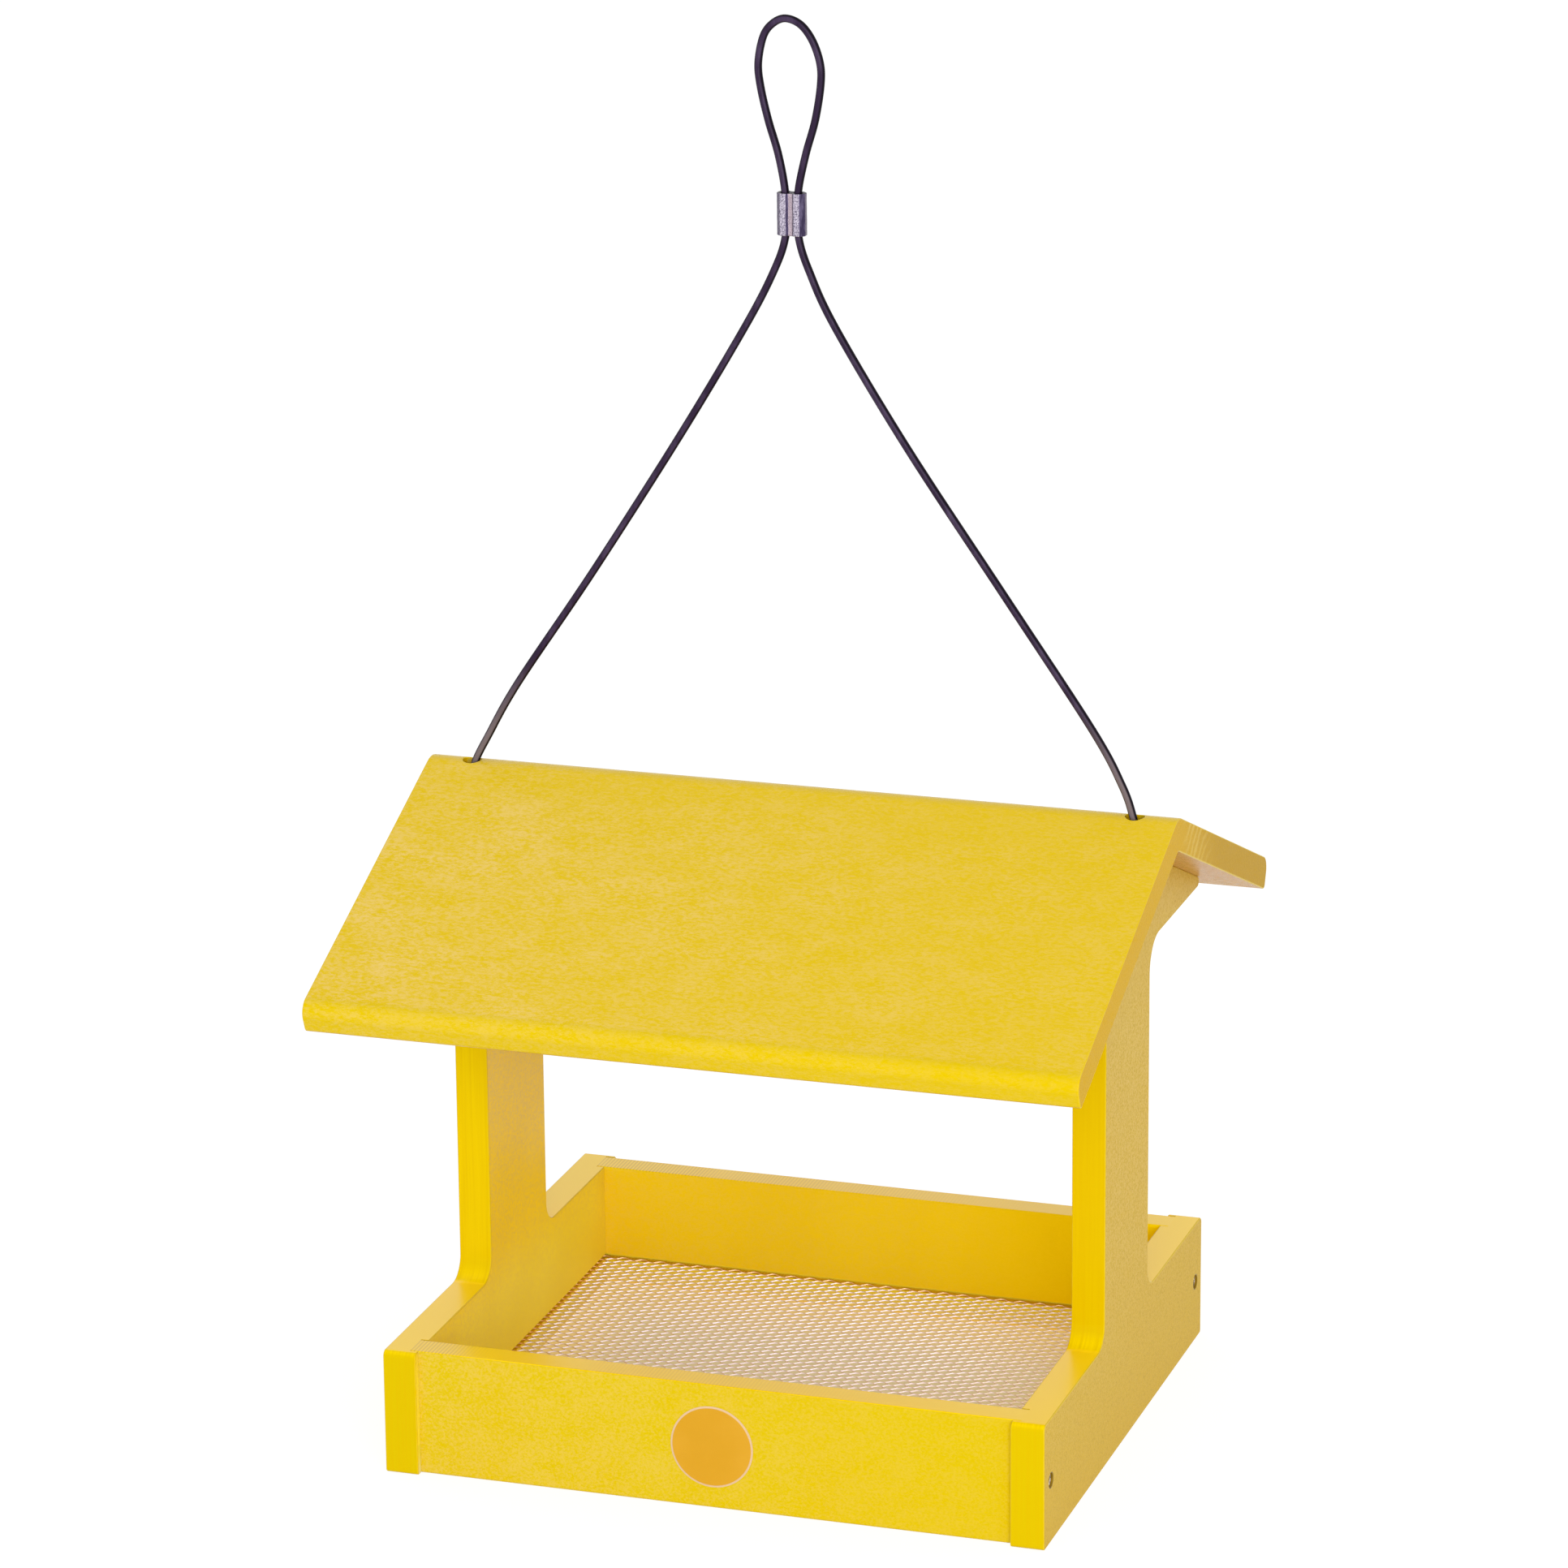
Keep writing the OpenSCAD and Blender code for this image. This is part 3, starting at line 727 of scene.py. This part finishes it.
# The sleeves' eased edges, and the dents in the ferrule: their size, depth and levels, and the
# seed that makes them the same each time
CREST_EASE = 0.3 * MM
DENT_SIZE = 3 * MM
DENT_DEPTH = 0.12 * MM
DENT_LEVELS = 14
DENT_SEED = 1


def dent(mesh):
    """Cuts a sleeve's long faces into levels and dents them a little, as the crimping tool did."""
    heights = [vert.co.z for vert in mesh.verts]
    low, high = min(heights), max(heights)
    for level in range(1, DENT_LEVELS):
        place = (0, 0, low + (high - low) * level / DENT_LEVELS)
        parts = [*mesh.verts, *mesh.edges, *mesh.faces]
        bmesh.ops.bisect_plane(mesh, geom=parts, plane_co=place, plane_no=(0, 0, 1))
    noise.seed_set(DENT_SEED)
    for vert in mesh.verts:
        push = noise.noise_vector(vert.co / DENT_SIZE)
        push.z = 0
        vert.co += push * DENT_DEPTH


def make_sleeves(material):
    """The loop's ferrule and the two stops at the cable's ends."""
    mesh = eased_copy("cable_ferrule", CREST_EASE)
    dent(mesh)
    pieces = [add_piece("crimped_ferrule", mesh, "cable_ferrule", "sleeve_metal", material)]
    for side in ("left", "right"):
        node = f"{side}_cable_stop"
        mesh = eased_copy(node, CREST_EASE)
        pieces.append(add_piece(f"{side}_stop_sleeve", mesh, node, "sleeve_metal", material))
    for piece in pieces:
        flat_shading(piece)
    return pieces


SCREW_EASE = 0.15 * MM


def make_screws(material):
    """The four screws with their sunk, cross-recessed heads."""
    mesh = eased_copy("rail_screws", SCREW_EASE)
    flat_shading(add_piece("sunk_rail_screws", mesh, "rail_screws", "screw_steel", material))


def make_badge(material):
    """A bare round film on the front rail: a thin rim, and a face that stands up from it."""
    low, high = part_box("badge_disc")
    middle = (low + high) / 2
    thick = high.y - low.y
    # Radius and height of the profile's points above the rail, from the rim's foot to the middle
    profile = (
        (high.x, 0), (high.x, BADGE_RIM_T * 0.6), (high.x - BADGE_RIM_EASE, BADGE_RIM_T),
        (BADGE_FACE_R, BADGE_RIM_T), (BADGE_FACE_R - BADGE_FACE_EASE / 5, thick * 0.85),
        (BADGE_FACE_R - BADGE_FACE_EASE, thick), (BADGE_FACE_R / 2, thick),
    )
    mesh = bmesh.new()
    rings = []
    for radius, height in profile:
        angles = [2 * math.pi * step / BADGE_STEPS for step in range(BADGE_STEPS)]
        rings.append([
            mesh.verts.new((radius * math.cos(a), high.y - height, middle.z + radius * math.sin(a)))
            for a in angles
        ])
    for ring, inner in zip(rings, rings[1:]):
        for i in range(BADGE_STEPS):
            j = (i + 1) % BADGE_STEPS
            mesh.faces.new((ring[i], inner[i], inner[j], ring[j]))
    mesh.faces.new(rings[-1])
    mesh.faces.new(rings[0][::-1])
    bmesh.ops.recalc_face_normals(mesh, faces=mesh.faces)
    flat_shading(add_piece("bare_badge", mesh, "badge_disc", "badge_vinyl", material))


def make_cable(material):
    """The coated cable: one smooth curve through the route's points."""
    route = [Vector((x, 0, z)) for x, z in CABLE_LEFT_LEG + CABLE_LOOP + CABLE_RIGHT_LEG]
    data = bpy.data.curves.new("coated_cable", "CURVE")
    data.dimensions = "3D"
    data.bevel_depth = CABLE_D / 2
    data.bevel_resolution = CABLE_BEVEL_STEPS
    data.resolution_u = CABLE_CURVE_STEPS
    data.use_fill_caps = True
    spline = data.splines.new("BEZIER")
    spline.bezier_points.add(len(route) - 1)
    for i, point in enumerate(spline.bezier_points):
        reach = (route[min(i + 1, len(route) - 1)] - route[max(i - 1, 0)]) / 6
        point.handle_left_type = point.handle_right_type = "FREE"
        point.co = route[i]
        point.handle_left = route[i] - reach
        point.handle_right = route[i] + reach
    data.materials.append(material)
    cable = bpy.data.objects.new("coated_cable", data)
    bpy.context.collection.objects.link(cable)
    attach(cable, "root")
    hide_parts("hanger_cable")
    return cable, route[0]


# Light: the sky's level on the object, and the power and place of the one large soft lamp
SKY_LEVEL = 0.8
LAMP_POWER = 60
LAMP_SIZE = 2.2
LAMP_PLACE = Vector((1.15, -2.8, 1.0))
LAMP_TARGET = Vector((0, 0, 0.2))
# The floor, just under the object, and its glow
FLOOR_SIZE = 14
FLOOR_DROP = 0.2 * MM
FLOOR_GREY = (0.8, 0.8, 0.8, 1)
FLOOR_WHITE = 1.22
FLOOR_GLOW = 0.68
# Its patch under the tray, in painted shade, and a painted glow that comes up from there, more to
# the front right
UNDER_X = 0.142
UNDER_Y = 0.122
SHADE_EDGE = 0.004
SHADE = 0.5
SHADE_TINT = linear(220, 197, 124)
UNDER_LIGHT = 0.48
UNDER_MORE = 0.3
# Near the boards this painted glow turns golden
GOLD_X = 0.09
GOLD_Y = 0.05
GOLD_TINT = linear(252, 206, 96)


def seen_rays(tree):
    """1 for rays from the camera, a mirror or glass, which see white, and 0 for others."""
    path = tree.nodes.new("ShaderNodeLightPath")
    total = path.outputs["Is Camera Ray"]
    for name in ("Is Glossy Ray", "Is Transmission Ray"):
        larger = tree.nodes.new("ShaderNodeMath")
        larger.operation = "MAXIMUM"
        tree.links.new(total, larger.inputs[0])
        tree.links.new(path.outputs[name], larger.inputs[1])
        total = larger.outputs[0]
    return total


def make_world():
    """A white surround to look at, and a plain soft light from all sides."""
    world = bpy.data.worlds.new("studio")
    world.use_nodes = True
    bpy.context.scene.world = world
    tree = world.node_tree
    light = tree.nodes["Background"]
    light.inputs["Color"].default_value = WHITE
    light.inputs["Strength"].default_value = SKY_LEVEL
    white = tree.nodes.new("ShaderNodeBackground")
    white.inputs["Color"].default_value = WHITE
    white.inputs["Strength"].default_value = 1
    either = tree.nodes.new("ShaderNodeMixShader")
    tree.links.new(seen_rays(tree), either.inputs[0])
    tree.links.new(light.outputs[0], either.inputs[1])
    tree.links.new(white.outputs[0], either.inputs[2])
    tree.links.new(either.outputs[0], tree.nodes["World Output"].inputs["Surface"])


def make_lamp():
    """One large soft lamp at the front, over the camera's shoulder."""
    data = bpy.data.lights.new("key", "AREA")
    data.shape = "DISK"
    data.size = LAMP_SIZE
    data.energy = LAMP_POWER
    lamp = bpy.data.objects.new("key", data)
    lamp.location = LAMP_PLACE
    lamp.rotation_euler = (LAMP_TARGET - LAMP_PLACE).to_track_quat("-Z", "Y").to_euler()
    bpy.context.collection.objects.link(lamp)


def make_floor():
    """A plain pale floor, which glows white to the camera and keeps the object's shadow."""
    mesh = bmesh.new()
    bmesh.ops.create_grid(mesh, x_segments=1, y_segments=1, size=FLOOR_SIZE / 2)
    data = bpy.data.meshes.new("floor")
    mesh.to_mesh(data)
    mesh.free()
    floor = bpy.data.objects.new("floor", data)
    floor.location.z = -FLOOR_DROP
    bpy.context.collection.objects.link(floor)
    shader = Shader("floor")
    shader.set(Base_Color=FLOOR_GREY, Roughness=1.0, Specular_IOR_Level=0.0)
    # Under the tray the floor is painted in shade for the camera, and gives a painted glow that
    # lights the tray from below, golden as if off the yellow boards
    x, y, _ = shader.split(shader.place)
    off_x, off_y = shader.unsigned(x), shader.unsigned(y)
    shade_x = shader.rise(off_x, UNDER_X + SHADE_EDGE, UNDER_X)
    shade_y = shader.rise(off_y, UNDER_Y + SHADE_EDGE, UNDER_Y)
    under = shader.times(shade_x, shade_y)
    clear = shader.minus(1, shader.times(under, SHADE))
    seen = seen_rays(shader.tree)
    share = shader.times(shader.times(seen, FLOOR_GLOW), clear)
    more = shader.rise(shader.minus(x, y), -0.1, 0.25, UNDER_MORE)
    light_up = shader.plus(UNDER_LIGHT, more)
    raised = shader.times(shader.times(shader.minus(1, seen), under), light_up)
    share = shader.plus(share, raised)
    golden_x = shader.rise(off_x, GOLD_X, UNDER_X)
    golden_y = shader.rise(off_y, GOLD_Y, UNDER_Y)
    golden = shader.mix(shader.larger(golden_x, golden_y), SHADE_TINT, GOLD_TINT)
    tint = shader.mix(under, WHITE, golden)
    glow = shader.add("ShaderNodeEmission", {"Color": tint, "Strength": FLOOR_WHITE})
    ways = {0: share, 1: shader.surface.outputs[0], 2: glow.outputs[0]}
    either = shader.add("ShaderNodeMixShader", ways)
    shader.feed(shader.tree.nodes["Material Output"].inputs["Surface"], either.outputs[0])
    data.materials.append(shader.material)


make_camera()
cable, cable_start = make_cable(cable_material())
sleeves = make_sleeves(sleeve_material())
make_boards()
make_screen(screen_material())
make_screws(screw_material())
make_badge(badge_material())
make_world()
make_lamp()
make_floor()
bpy.context.scene.view_settings.view_transform = "Standard"
